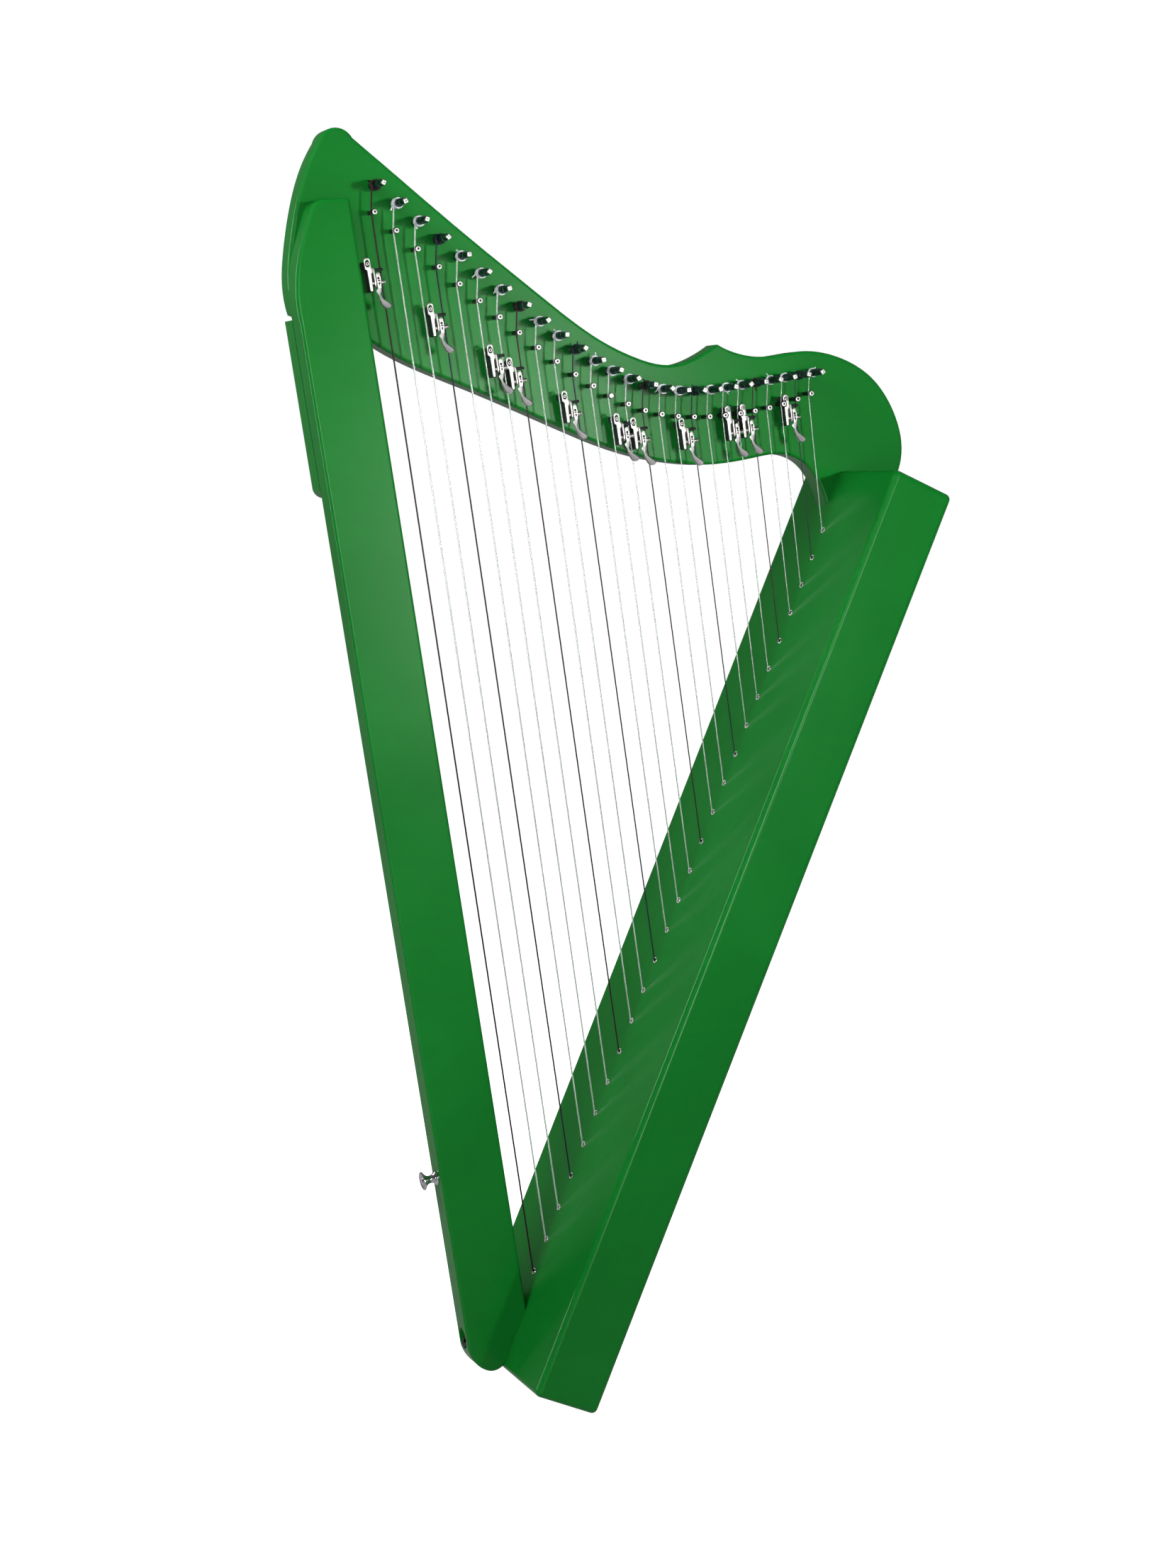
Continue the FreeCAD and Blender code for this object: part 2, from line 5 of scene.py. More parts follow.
import bmesh
import bpy
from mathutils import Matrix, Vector


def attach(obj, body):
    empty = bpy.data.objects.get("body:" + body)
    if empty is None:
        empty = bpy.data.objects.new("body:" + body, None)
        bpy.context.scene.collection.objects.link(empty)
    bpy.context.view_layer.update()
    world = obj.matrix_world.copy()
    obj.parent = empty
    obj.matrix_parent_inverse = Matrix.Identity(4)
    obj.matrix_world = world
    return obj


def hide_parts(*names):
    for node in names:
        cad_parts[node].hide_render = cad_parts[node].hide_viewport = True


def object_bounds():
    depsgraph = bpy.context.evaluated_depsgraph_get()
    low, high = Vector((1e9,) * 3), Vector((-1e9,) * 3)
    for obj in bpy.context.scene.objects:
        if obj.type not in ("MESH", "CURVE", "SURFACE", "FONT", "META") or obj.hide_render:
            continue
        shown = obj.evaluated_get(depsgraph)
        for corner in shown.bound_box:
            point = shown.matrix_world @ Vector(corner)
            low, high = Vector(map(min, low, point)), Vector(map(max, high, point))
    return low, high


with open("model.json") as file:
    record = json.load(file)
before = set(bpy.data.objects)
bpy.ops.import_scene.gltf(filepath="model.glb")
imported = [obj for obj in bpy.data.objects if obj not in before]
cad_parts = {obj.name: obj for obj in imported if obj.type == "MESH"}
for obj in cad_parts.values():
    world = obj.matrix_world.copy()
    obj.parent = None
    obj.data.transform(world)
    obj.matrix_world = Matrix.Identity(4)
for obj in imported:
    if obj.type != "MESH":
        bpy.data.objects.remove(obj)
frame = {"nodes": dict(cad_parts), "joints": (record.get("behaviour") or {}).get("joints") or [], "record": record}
cad_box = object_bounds()
nodes = frame["nodes"]
joints = {joint["name"]: joint for joint in frame["joints"]}
MM = 0.001

# ---------------------------------------------------------------- sizes (mm, as in the CAD)
STRINGS = 26
RED = (1, 8, 15, 22)
BLACK = (4, 11, 18, 25)
LEVERS = (1, 4, 7, 8, 11, 14, 15, 18, 21, 22, 25)    # the strings that have one
BOX_TILT = 66.76            # the soundboard leans this far above the horizontal
BOX_DEPTH = 48.0
BOARD_T = 4.0
RIB_T = 5.0
FIRST_EYELET = 69.0
EYELET_STEP = 23.7
EYELET_SHRINK = 0.12
PIN_R = 2.6
PIN_TIP = -15.6
PIN_ROOT = 24.4
SQUARE = 3.7
SQUARE_LEN = 7.5
NECK_FRONT = 9.4
AXLE_V = -8.2
AXLE_Y = -2.7
NOTCH_R = 2.2
STUD_R = 1.5
THIN = 0.01                 # stands for a point where a turned profile meets its axis

along = Vector((math.cos(math.radians(BOX_TILT)), 0, math.sin(math.radians(BOX_TILT))))
into = Vector((along.z, 0, -along.x))
Y = Vector((0, 1, 0))


def string_radius(number):
    return 0.55 - 0.25 * (number - 1) / (STRINGS - 1)


def colour_of(number):
    if number in RED:
        return "red"
    return "black" if number in BLACK else "clear"


def eyelet_at(number, depth):
    i = number - 1
    s = FIRST_EYELET + EYELET_STEP * i - EYELET_SHRINK * i * (i - 1) / 2
    return (along * s + into * (depth - BOX_DEPTH / 2)) * MM


# ---------------------------------------------------------------- camera, light, floor
CAMERA_AT = (-0.6535, -1.7015, 0.6128)
CAMERA_TURN = 22.333        # degrees to the right of +Y
CAMERA_DIP = 6.238          # degrees below the horizon
LENS = 61.85
SEEN_THROUGH = 0.8          # how white the room is through a string, against white seen straight
FLOOR_R = 7.0               # metres
FLOOR_SIDES = 96
FLOOR_DROP = 0.0005         # metres below the harp, so that the two never share a plane


def aim(obj, direction):
    obj.rotation_mode = "QUATERNION"
    obj.rotation_quaternion = Vector(direction).to_track_quat("-Z", "Y")


def add_camera():
    data = bpy.data.cameras.new("camera")
    data.lens = LENS
    data.sensor_width = 36.0
    data.clip_start = 0.05
    data.clip_end = 60.0
    camera = bpy.data.objects.new("camera", data)
    bpy.context.scene.collection.objects.link(camera)
    camera.location = CAMERA_AT
    turn, dip = math.radians(CAMERA_TURN), math.radians(CAMERA_DIP)
    aim(camera, (math.sin(turn) * math.cos(dip), math.cos(turn) * math.cos(dip), -math.sin(dip)))
    bpy.context.scene.camera = camera


def add_light(name, location, target, size, watts, tall=None, mirrored=False, only=None, spread=180):
    """A soft lamp. A mirrored one only shows in glossy surfaces, the others only light matt ones."""
    data = bpy.data.lights.new(name, "AREA")
    data.shape = "ELLIPSE" if tall else "DISK"
    data.size = size
    if tall:
        data.size_y = tall
    data.energy = watts
    data.spread = math.radians(spread)
    light = bpy.data.objects.new(name, data)
    bpy.context.scene.collection.objects.link(light)
    light.location = location
    light.visible_glossy = mirrored
    light.visible_diffuse = not mirrored
    if only:
        light.light_linking.receiver_collection = only
    aim(light, Vector(target) - Vector(location))


def add_world():
    # a room that is brighter behind the harp than behind the viewer, and brightest low down
    world = bpy.data.worlds.new("studio")
    bpy.context.scene.world = world
    world.use_nodes = True
    tree = world.node_tree
    tree.nodes.clear()
    out = tree.nodes.new("ShaderNodeOutputWorld")
    mix = tree.nodes.new("ShaderNodeMixShader")
    seen = tree.nodes.new("ShaderNodeBackground")
    seen.inputs["Strength"].default_value = 1.0
    seen.inputs["Color"].default_value = (1, 1, 1, 1)
    lit = tree.nodes.new("ShaderNodeBackground")
    path = tree.nodes.new("ShaderNodeLightPath")
    where = tree.nodes.new("ShaderNodeTexCoord")
    split = tree.nodes.new("ShaderNodeSeparateXYZ")
    tree.links.new(where.outputs["Generated"], split.inputs[0])
    total = tree.nodes.new("ShaderNodeMath")
    # axis, the two places along it, and the strength at each
    ramps = (("Y", -0.75, 0.35, 0.06, 0.15), ("Z", -0.1, -0.45, 0, 0.35))
    for index, (axis, start, end, low, high) in enumerate(ramps):
        ramp = tree.nodes.new("ShaderNodeMapRange")
        for socket, value in zip(ramp.inputs[1:5], (start, end, low, high)):
            socket.default_value = value
        tree.links.new(split.outputs[axis], ramp.inputs["Value"])
        tree.links.new(ramp.outputs[0], total.inputs[index])
    tree.links.new(total.outputs[0], lit.inputs["Strength"])
    # what is seen through a string is white as well, though dimmer
    through = tree.nodes.new("ShaderNodeMath")
    through.operation = "MULTIPLY_ADD"
    through.inputs[1].default_value = SEEN_THROUGH
    tree.links.new(path.outputs["Is Transmission Ray"], through.inputs[0])
    tree.links.new(path.outputs["Is Camera Ray"], through.inputs[2])
    tree.links.new(through.outputs[0], mix.inputs[0])
    tree.links.new(lit.outputs[0], mix.inputs[1])
    tree.links.new(seen.outputs[0], mix.inputs[2])
    tree.links.new(mix.outputs[0], out.inputs["Surface"])


def add_floor():
    low = cad_box[0].z
    mesh = bpy.data.meshes.new("floor")
    rim = []
    for k in range(FLOOR_SIDES):
        a = 2 * math.pi * k / FLOOR_SIDES
        rim.append((FLOOR_R * math.cos(a), FLOOR_R * math.sin(a), low - FLOOR_DROP))
    mesh.from_pydata(rim, [], [tuple(range(FLOOR_SIDES))])
    floor = bpy.data.objects.new("floor", mesh)
    bpy.context.scene.collection.objects.link(floor)
    material = bpy.data.materials.new("pale_floor")
    material.use_nodes = True
    shader = material.node_tree.nodes["Principled BSDF"]
    shader.inputs["Base Color"].default_value = (0.55, 0.55, 0.55, 1)
    shader.inputs["Roughness"].default_value = 0.85
    shader.inputs["Specular IOR Level"].default_value = 0.1
    shader.inputs["Emission Color"].default_value = (1, 1, 1, 1)
    # it looks white, but doesn't light the harp from below
    path = material.node_tree.nodes.new("ShaderNodeLightPath")
    material.node_tree.links.new(path.outputs["Is Camera Ray"], shader.inputs["Emission Strength"])
    mesh.materials.append(material)
    floor.visible_glossy = False


# ---------------------------------------------------------------- materials
class Nodes:
    """Short ways to build a node tree."""

    def __init__(self, name):
        self.material = bpy.data.materials.new(name)
        self.material.use_nodes = True
        self.tree = self.material.node_tree
        self.shader = self.tree.nodes["Principled BSDF"]

    def add(self, kind, **values):
        node = self.tree.nodes.new("ShaderNode" + kind)
        for key, value in values.items():
            setattr(node, key, value)
        return node

    def link(self, a, b):
        self.tree.links.new(a, b)

    def put(self, socket, value):
        self.shader.inputs[socket].default_value = value

    def coords(self, turn=(0, 0, 0), scale=(1, 1, 1)):
        where = self.add("TexCoord")
        mapping = self.add("Mapping")
        mapping.inputs["Rotation"].default_value = turn
        mapping.inputs["Scale"].default_value = scale
        self.link(where.outputs["Object"], mapping.inputs["Vector"])
        return mapping.outputs[0]

    def noise(self, vector, scale, detail=3.0, rough=0.5, distortion=0.0):
        node = self.add("TexNoise")
        node.inputs["Scale"].default_value = scale
        node.inputs["Detail"].default_value = detail
        node.inputs["Roughness"].default_value = rough
        node.inputs["Distortion"].default_value = distortion
        self.link(vector, node.inputs["Vector"])
        return node.outputs["Fac"]

    def ramp(self, value, stops):
        node = self.add("ValToRGB")
        elements = node.color_ramp.elements
        while len(elements) < len(stops):
            elements.new(0.5)
        for element, (place, colour) in zip(elements, stops):
            element.position = place
            element.color = (*colour, 1) if len(colour) == 3 else colour
        self.link(value, node.inputs["Fac"])
        return node.outputs["Color"]

    def scaled(self, value, low, high, start=0.0, end=1.0):
        node = self.add("MapRange")
        node.inputs["From Min"].default_value = start
        node.inputs["From Max"].default_value = end
        node.inputs["To Min"].default_value = low
        node.inputs["To Max"].default_value = high
        self.link(value, node.inputs["Value"])
        return node.outputs[0]

    def maths(self, operation, a, b):
        node = self.add("Math", operation=operation)
        for socket, value in zip(node.inputs, (a, b)):
            if isinstance(value, (int, float)):
                socket.default_value = value
            else:
                self.link(value, socket)
        return node.outputs[0]

    def blend(self, factor, a, b):
        node = self.add("Mix", data_type="RGBA")
        for index, value in ((0, factor), (6, a), (7, b)):
            if isinstance(value, (int, float)):
                node.inputs[index].default_value = value
            elif isinstance(value, tuple):
                node.inputs[index].default_value = (*value, 1)
            else:
                self.link(value, node.inputs[index])
        return node.outputs[2]

    def bumps(self, layers):
        # layers: (height, strength, distance in metres), from the coarsest to the finest
        normal = None
        for height, strength, distance in layers:
            node = self.add("Bump")
            node.inputs["Strength"].default_value = strength
            node.inputs["Distance"].default_value = distance
            self.link(height, node.inputs["Height"])
            if normal is not None:
                self.link(normal, node.inputs["Normal"])
            normal = node.outputs[0]
        self.link(normal, self.shader.inputs["Normal"])


PAINT_DEEP = (0.0026, 0.128, 0.0125)
PAINT = (0.0032, 0.150, 0.0150)
PAINT_LIGHT = (0.0048, 0.170, 0.0190)
WOOD_DARK = (0.30, 0.17, 0.075)
WOOD_LIGHT = (0.56, 0.39, 0.21)


def grain_turn(tilt):
    # turns the grain's long axis, which is X in the texture, to the direction tilt degrees above +X
    return (0, math.radians(tilt), 0)


def wood_heights(m, tilt):
    turn = grain_turn(tilt)
    figure = m.noise(m.coords(turn, (9, 34, 34)), 1.0, 4.0, 0.55, 1.6)
    fibre = m.noise(m.coords(turn, (60, 1500, 1500)), 1.0, 3.0, 0.6)
    return figure, fibre


def inner_face_mask(m, direction):
    # 1 on the faces that look within 60 degrees of direction
    facing = m.add("NewGeometry")
    dot = m.add("VectorMath", operation="DOT_PRODUCT")
    m.link(facing.outputs["True Normal"], dot.inputs[0])
    dot.inputs[1].default_value = direction
    return m.maths("GREATER_THAN", dot.outputs["Value"], 0.5)


def painted_wood(name, tilt, figure_depth=0.00006, bare=(), shine=0.22):
    """Satin green paint over wood whose grain runs tilt degrees above +X.
    bare: the directions of the faces that are left unpainted."""
    m = Nodes(name)
    figure, fibre = wood_heights(m, tilt)
    cloud = m.noise(m.coords(), 7.0, 3.0, 0.5, 0.4)
    peel = m.noise(m.coords(), 620.0, 2.0, 0.5)
    colour = m.ramp(cloud, ((0.28, PAINT_DEEP), (0.52, PAINT), (0.78, PAINT_LIGHT)))
    colour = m.blend(m.scaled(figure, 0.0, 0.35, 0.35, 0.75), colour, PAINT_DEEP)
    rough = m.maths("ADD", m.scaled(cloud, 0.20, 0.26), m.scaled(peel, -0.02, 0.02))
    layers = [(figure, 0.35, figure_depth), (fibre, 0.16, 0.00003), (peel, 0.12, 0.00002)]
    if bare:
        mask = None
        for direction in bare:
            here = inner_face_mask(m, direction)
            mask = here if mask is None else m.maths("MAXIMUM", mask, here)
        streak = m.noise(m.coords(grain_turn(tilt), (14, 420, 420)), 1.0, 5.0, 0.6)
        raw = m.ramp(streak, ((0.30, WOOD_DARK), (0.70, WOOD_LIGHT)))
        colour = m.blend(mask, colour, raw)
        rough = m.maths("MAXIMUM", rough, m.maths("MULTIPLY", mask, 0.72))
    m.link(colour, m.shader.inputs["Base Color"])
    m.link(rough, m.shader.inputs["Roughness"])
    m.put("Specular IOR Level", shine)
    m.bumps(layers)
    return m.material


def bare_wood(name, tilt):
    m = Nodes(name)
    streak = m.noise(m.coords(grain_turn(tilt), (14, 420, 420)), 1.0, 5.0, 0.6)
    m.link(m.ramp(streak, ((0.30, WOOD_DARK), (0.70, WOOD_LIGHT))), m.shader.inputs["Base Color"])
    m.link(m.scaled(streak, 0.62, 0.78), m.shader.inputs["Roughness"])
    m.bumps([(streak, 0.4, 0.0001)])
    return m.material


def metal(name, dark, light, rough, brush=(900, 900, 900), depth=0.00001, matt=0.0):
    """Metal with faint brushing and patchy gloss."""
    m = Nodes(name)
    tone = m.noise(m.coords(), 160.0, 4.0, 0.6)
    scratch = m.noise(m.coords(scale=brush), 1.0, 2.0, 0.7)
    m.link(m.ramp(tone, ((0.32, dark), (0.68, light))), m.shader.inputs["Base Color"])
    m.link(m.maths("ADD", m.scaled(tone, rough - 0.05, rough + 0.05), m.scaled(scratch, -0.04, 0.04)),
           m.shader.inputs["Roughness"])
    m.put("Metallic", 1.0 - matt)
    m.bumps([(scratch, 0.25, depth)])
    return m.material


def nylon(name, dark, light, through=0.0):
    """Monofilament string: smooth, with faint waviness and colour streaks."""
    m = Nodes(name)
    streak = m.noise(m.coords(scale=(200, 200, 60)), 1.0, 3.0, 0.6)
    m.link(m.ramp(streak, ((0.2, dark), (0.8, light))), m.shader.inputs["Base Color"])
    m.link(m.scaled(streak, 0.14, 0.28), m.shader.inputs["Roughness"])
    m.put("IOR", 1.53)
    m.put("Specular IOR Level", 0.3)
    m.put("Transmission Weight", through)
    m.bumps([(streak, 0.2, 0.00002)])
    return m.material


def plastic(name, dark, light):
    m = Nodes(name)
    grit = m.noise(m.coords(), 2200.0, 2.0, 0.6)
    cloud = m.noise(m.coords(), 90.0, 2.0, 0.5)
    m.link(m.ramp(cloud, ((0.3, dark), (0.7, light))), m.shader.inputs["Base Color"])
    m.link(m.scaled(grit, 0.38, 0.52), m.shader.inputs["Roughness"])
    m.bumps([(grit, 0.3, 0.00002)])
    return m.material


pillar_tilt = 90 + math.degrees(math.atan(0.1603))
paint_neck = painted_wood("paint_neck", -14, shine=0.29)
paint_pillar = painted_wood("paint_pillar", pillar_tilt)
paint_board = painted_wood("paint_soundboard", BOX_TILT, 0.00016, bare=[into])
paint_near = painted_wood("paint_side_near", BOX_TILT, bare=[Y])
paint_far = painted_wood("paint_side_far", BOX_TILT, bare=[-Y])
paint_back = painted_wood("paint_back", BOX_TILT, 0.0001, bare=[-into])
paint_top_block = painted_wood("paint_top_block", BOX_TILT, bare=[-along])
paint_low_block = painted_wood("paint_low_block", BOX_TILT, bare=[along])
rib_wood = bare_wood("rib_wood", BOX_TILT)
nickel = metal("nickel", (0.72, 0.70, 0.67), (0.84, 0.82, 0.79), 0.30, depth=0.000005)
# a darker nickel for the arm and paddle: painted shade, against the bright nickel of the same handle
satin_nickel_painted_shade = metal("satin_nickel_painted_shade", (0.38, 0.37, 0.38), (0.52, 0.51, 0.51), 0.42, (300, 2400, 2400),
                     matt=0.4)
chrome = metal("chrome", (0.66, 0.66, 0.68), (0.80, 0.80, 0.82), 0.06, depth=0.000004)
pin_steel = metal("pin_steel", (0.07, 0.08, 0.12), (0.15, 0.17, 0.23), 0.34, (900, 2600, 900))
# bright steel for the tuning pins' tip faces: a painted highlight on the same steel as their shanks
pin_tip_highlight_steel = metal("pin_tip_highlight_steel", (0.74, 0.73, 0.72), (0.86, 0.85, 0.84), 0.34, (900, 2600, 900), 0.000005)
# dark metal for the pillar bolt, and painted shade on the bridge pins' sides, in sockets and bores and behind the
# lever holes
black_oxide_and_painted_shade = metal("black_oxide_and_painted_shade", (0.03, 0.03, 0.035), (0.06, 0.06, 0.07), 0.38)
brass = metal("brass", (0.58, 0.42, 0.17), (0.74, 0.57, 0.27), 0.30)
black_plastic = plastic("black_plastic", (0.010, 0.010, 0.014), (0.022, 0.022, 0.028))
fret_black = plastic("fret_black", (0.006, 0.006, 0.008), (0.014, 0.014, 0.018))
string_paint = {
    "clear": nylon("nylon_clear", (0.80, 0.88, 0.84), (0.90, 0.95, 0.92), 0.82),
    "red": nylon("nylon_red", (0.014, 0.004, 0.010), (0.032, 0.008, 0.017)),
    "black": nylon("nylon_black", (0.006, 0.007, 0.016), (0.016, 0.017, 0.034)),
}
wound_paint = dict(string_paint, clear=nylon("nylon_wound", (0.78, 0.81, 0.86), (0.92, 0.94, 0.97), 0.4))


def dress(node, material):
    mesh = nodes[node].data
    mesh.materials.clear()
    mesh.materials.append(material)


# ---------------------------------------------------------------- mesh building
class Shape:
    """Collects closed skins into one mesh piece. Points are given in millimetres."""

    def __init__(self):
        self.points = []
        self.faces = []
        self.slots = []

    def skin(self, rings, slot=0, loop=False, stripes=()):
        """Faces between rings of equally many points, with both ends capped unless loop is true.
        stripes: the faces round each ring that get the first material instead of the slot's."""
        count = len(rings[0])
        first = len(self.points)
        for ring in rings:
            self.points.extend(ring)
        last = len(rings) if loop else len(rings) - 1
        for k in range(last):
            a = first + k * count
            b = first + (k + 1) % len(rings) * count
            for j in range(count):
                j2 = (j + 1) % count
                self.faces.append((a + j, a + j2, b + j2, b + j))
                self.slots.append(0 if j in stripes else slot)
        if not loop:
            end = first + (len(rings) - 1) * count
            self.faces.append(tuple(range(first + count - 1, first - 1, -1)))
            self.faces.append(tuple(range(end, end + count)))
            self.slots.extend((slot, slot))

    def tube(self, path, radius, slot=0, sides=10, loop=False):
        rings = []
        side = None
        for k, point in enumerate(path):
            after = path[(k + 1) % len(path)] if loop else path[min(k + 1, len(path) - 1)]
            before = path[k - 1] if loop else path[max(k - 1, 0)]
            ahead = (after - before).normalized()
            if side is None:
                side = ahead.orthogonal().normalized()
            side = (side - ahead * side.dot(ahead)).normalized()
            up = ahead.cross(side)
            ring = []
            for j in range(sides):
                a = 2 * math.pi * j / sides
                ring.append(point + side * (radius * math.cos(a)) + up * (radius * math.sin(a)))
            rings.append(ring)
        self.skin(rings, slot, loop)

    def lathe(self, profile, base, axis, slot=0, sides=32, loop=False):
        """profile: (radius, height along axis) from one end to the other, or all round if loop is true."""
        axis = axis.normalized()
        side = axis.orthogonal().normalized()
        up = axis.cross(side)
        rings = []
        for r, h in profile:
            r = max(r, THIN)
            ring = []
            for j in range(sides):
                a = 2 * math.pi * j / sides
                ring.append(base + axis * h + side * (r * math.cos(a)) + up * (r * math.sin(a)))
            rings.append(ring)
        self.skin(rings, slot, loop)

    def flat(self, outlines, y0, y1, place, bevel=0.2, slot=0):
        """A stamped part: closed outlines (the others are holes) given a thickness and rounded edges."""
        data = bpy.data.curves.new("outline", "CURVE")
        data.dimensions = "2D"
        data.fill_mode = "BOTH"
        data.extrude = (y1 - y0) / 2 - bevel
        data.bevel_depth = bevel
        data.bevel_resolution = 2
        data.offset = -bevel
        for outline in outlines:
            spline = data.splines.new("POLY")
            spline.points.add(len(outline) - 1)
            for point, (u, v) in zip(spline.points, outline):
                point.co = (u, v, 0, 1)
            spline.use_cyclic_u = True
        temp = bpy.data.objects.new("outline", data)
        bpy.context.scene.collection.objects.link(temp)
        mesh = bpy.data.meshes.new_from_object(temp.evaluated_get(bpy.context.evaluated_depsgraph_get()))
        first = len(self.points)
        middle = (y0 + y1) / 2
        for vertex in mesh.vertices:
            self.points.append(place(vertex.co.x, vertex.co.y, middle + vertex.co.z))
        for polygon in mesh.polygons:
            self.faces.append(tuple(first + k for k in polygon.vertices))
            self.slots.append(slot)
        bpy.data.objects.remove(temp)
        bpy.data.meshes.remove(mesh)
        bpy.data.curves.remove(data)

    def finish(self, name, body, materials, node=None, slot=None, crease=32):
        mesh = bpy.data.meshes.new(name)
        mesh.from_pydata([p * MM for p in self.points], [], self.faces)
        for material in materials:
            mesh.materials.append(material)
        for polygon, slot_index in zip(mesh.polygons, self.slots):
            polygon.material_index = slot_index
            polygon.use_smooth = True
        bm = bmesh.new()
        bm.from_mesh(mesh)
        bmesh.ops.remove_doubles(bm, verts=bm.verts, dist=2e-6)
        bmesh.ops.recalc_face_normals(bm, faces=bm.faces)
        bm.to_mesh(mesh)
        bm.free()
        mesh.set_sharp_from_angle(angle=math.radians(crease))
        piece = bpy.data.objects.new(name, mesh)
        bpy.context.scene.collection.objects.link(piece)
        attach(piece, body)
        if node:
            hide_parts(node)
        if node == "soundboard_eyelets":
            ring_metals.objects.link(piece)
        elif slot in ("nickel", "pin_steel"):
            front_metals.objects.link(piece)


# the pieces that the sheen lamps below reach
front_metals = bpy.data.collections.new("front_metals")
ring_metals = bpy.data.collections.new("ring_metals")


def fillet(corners, steps=5):
    """corners: (u, v, radius). Returns the outline with every corner rounded by an arc."""
    outline = []
    count = len(corners)
    for k, (u, v, radius) in enumerate(corners):
        here = Vector((u, v))
        a = Vector(corners[k - 1][:2]) - here
        b = Vector(corners[(k + 1) % count][:2]) - here
        if radius <= 0:
            outline.append((u, v))
            continue
        half = a.angle(b) / 2
        reach = min(radius / math.tan(half), a.length * 0.49, b.length * 0.49)
        size = reach * math.tan(half)
        a.normalize()
        b.normalize()
        centre = here + (a + b).normalized() * (size / math.sin(half))
        start = here + a * reach - centre
        end = here + b * reach - centre
        sweep = start.angle_signed(end)
        for j in range(steps + 1):
            t = -sweep * j / steps
            outline.append((centre.x + start.x * math.cos(t) - start.y * math.sin(t),
                            centre.y + start.x * math.sin(t) + start.y * math.cos(t)))
    return outline


def circle(u, v, radius, count=24, turn=0.0):
    points = []
    for k in range(count):
        a = turn + 2 * math.pi * k / count
        points.append((u + radius * math.cos(a), v + radius * math.sin(a)))
    return points


# ---------------------------------------------------------------- tuning pins with their windings
ROLLED_PITCH = 0.9          # between the fine rings rolled into the buried part
ROLLED_DEPTH = 0.12
COIL_STEPS = 36             # points in one turn of a winding
COIL_GAP = 0.03             # between the string and the pin

def squarish(angle, half, corner):
    # distance from the axis to a square of the given half side whose corners are cut at a radius
    c = max(abs(math.cos(angle)), abs(math.sin(angle)))
    return min(half / c, corner)


def pin_piece(number, centre):
    shape = Shape()
    turn = math.radians(28 + 37 * (number - 1))
    sides = 48

    def ring(y, half, corner, round_r, square):
        points = []
        for j in range(sides):
            a = 2 * math.pi * j / sides
            r = round_r * (1 - square) + squarish(a, half, corner) * square
            b = a - turn
            points.append(centre + Vector((r * math.cos(b), y, r * math.sin(b))))
        return points

    # buried part with fine rolled rings, and shank
    rings = [ring(PIN_ROOT, 0, 0, PIN_R - 0.6, 0), ring(PIN_ROOT - 0.8, 0, 0, PIN_R, 0)]
    y = PIN_ROOT - 1.2
    while y > NECK_FRONT + 1.5:
        rings.append(ring(y, 0, 0, PIN_R, 0))
        rings.append(ring(y - 0.2, 0, 0, PIN_R - ROLLED_DEPTH, 0))
        rings.append(ring(y - 0.4, 0, 0, PIN_R, 0))
        y -= ROLLED_PITCH
    shoulder = PIN_TIP + SQUARE_LEN
    rings.append(ring(shoulder + 0.5, 0, 0, PIN_R, 0))
    rings.append(ring(shoulder + 0.15, 0, 0, PIN_R - 0.15, 0))
    shape.skin(rings, 0)
    half = SQUARE / 2
    ends = [ring(shoulder + 0.6, half, PIN_R - 0.25, PIN_R - 0.25, 0.0),
            ring(shoulder - 0.5, half, PIN_R - 0.25, PIN_R - 0.25, 1.0),
            ring(PIN_TIP + 0.7, half - 0.12, PIN_R - 0.32, 0, 1.0)]
    # the tip's chamfers and end face get the bright steel: a painted highlight
    tip = [ring(PIN_TIP + 0.7, half - 0.12, PIN_R - 0.32, 0, 1.0),
           ring(PIN_TIP + 0.2, half - 0.26, PIN_R - 0.5, 0, 1.0),
           ring(PIN_TIP + 0.03, half - 0.5, PIN_R - 0.75, 0, 1.0),
           ring(PIN_TIP, half - 0.7, PIN_R - 1.0, 0, 1.0),
           ring(PIN_TIP + 0.02, 0, 0, 0.62, 0.0),
           ring(PIN_TIP + 0.5, 0, 0, 0.12, 0.0)]
    shape.skin(ends, 0)
    shape.skin(tip, 1)
    shape.finish("pin_%02d_body" % number, "pin_%02d" % number, [pin_steel, pin_tip_highlight_steel],
                 "tuning_pin_%02d" % number, "pin_steel")


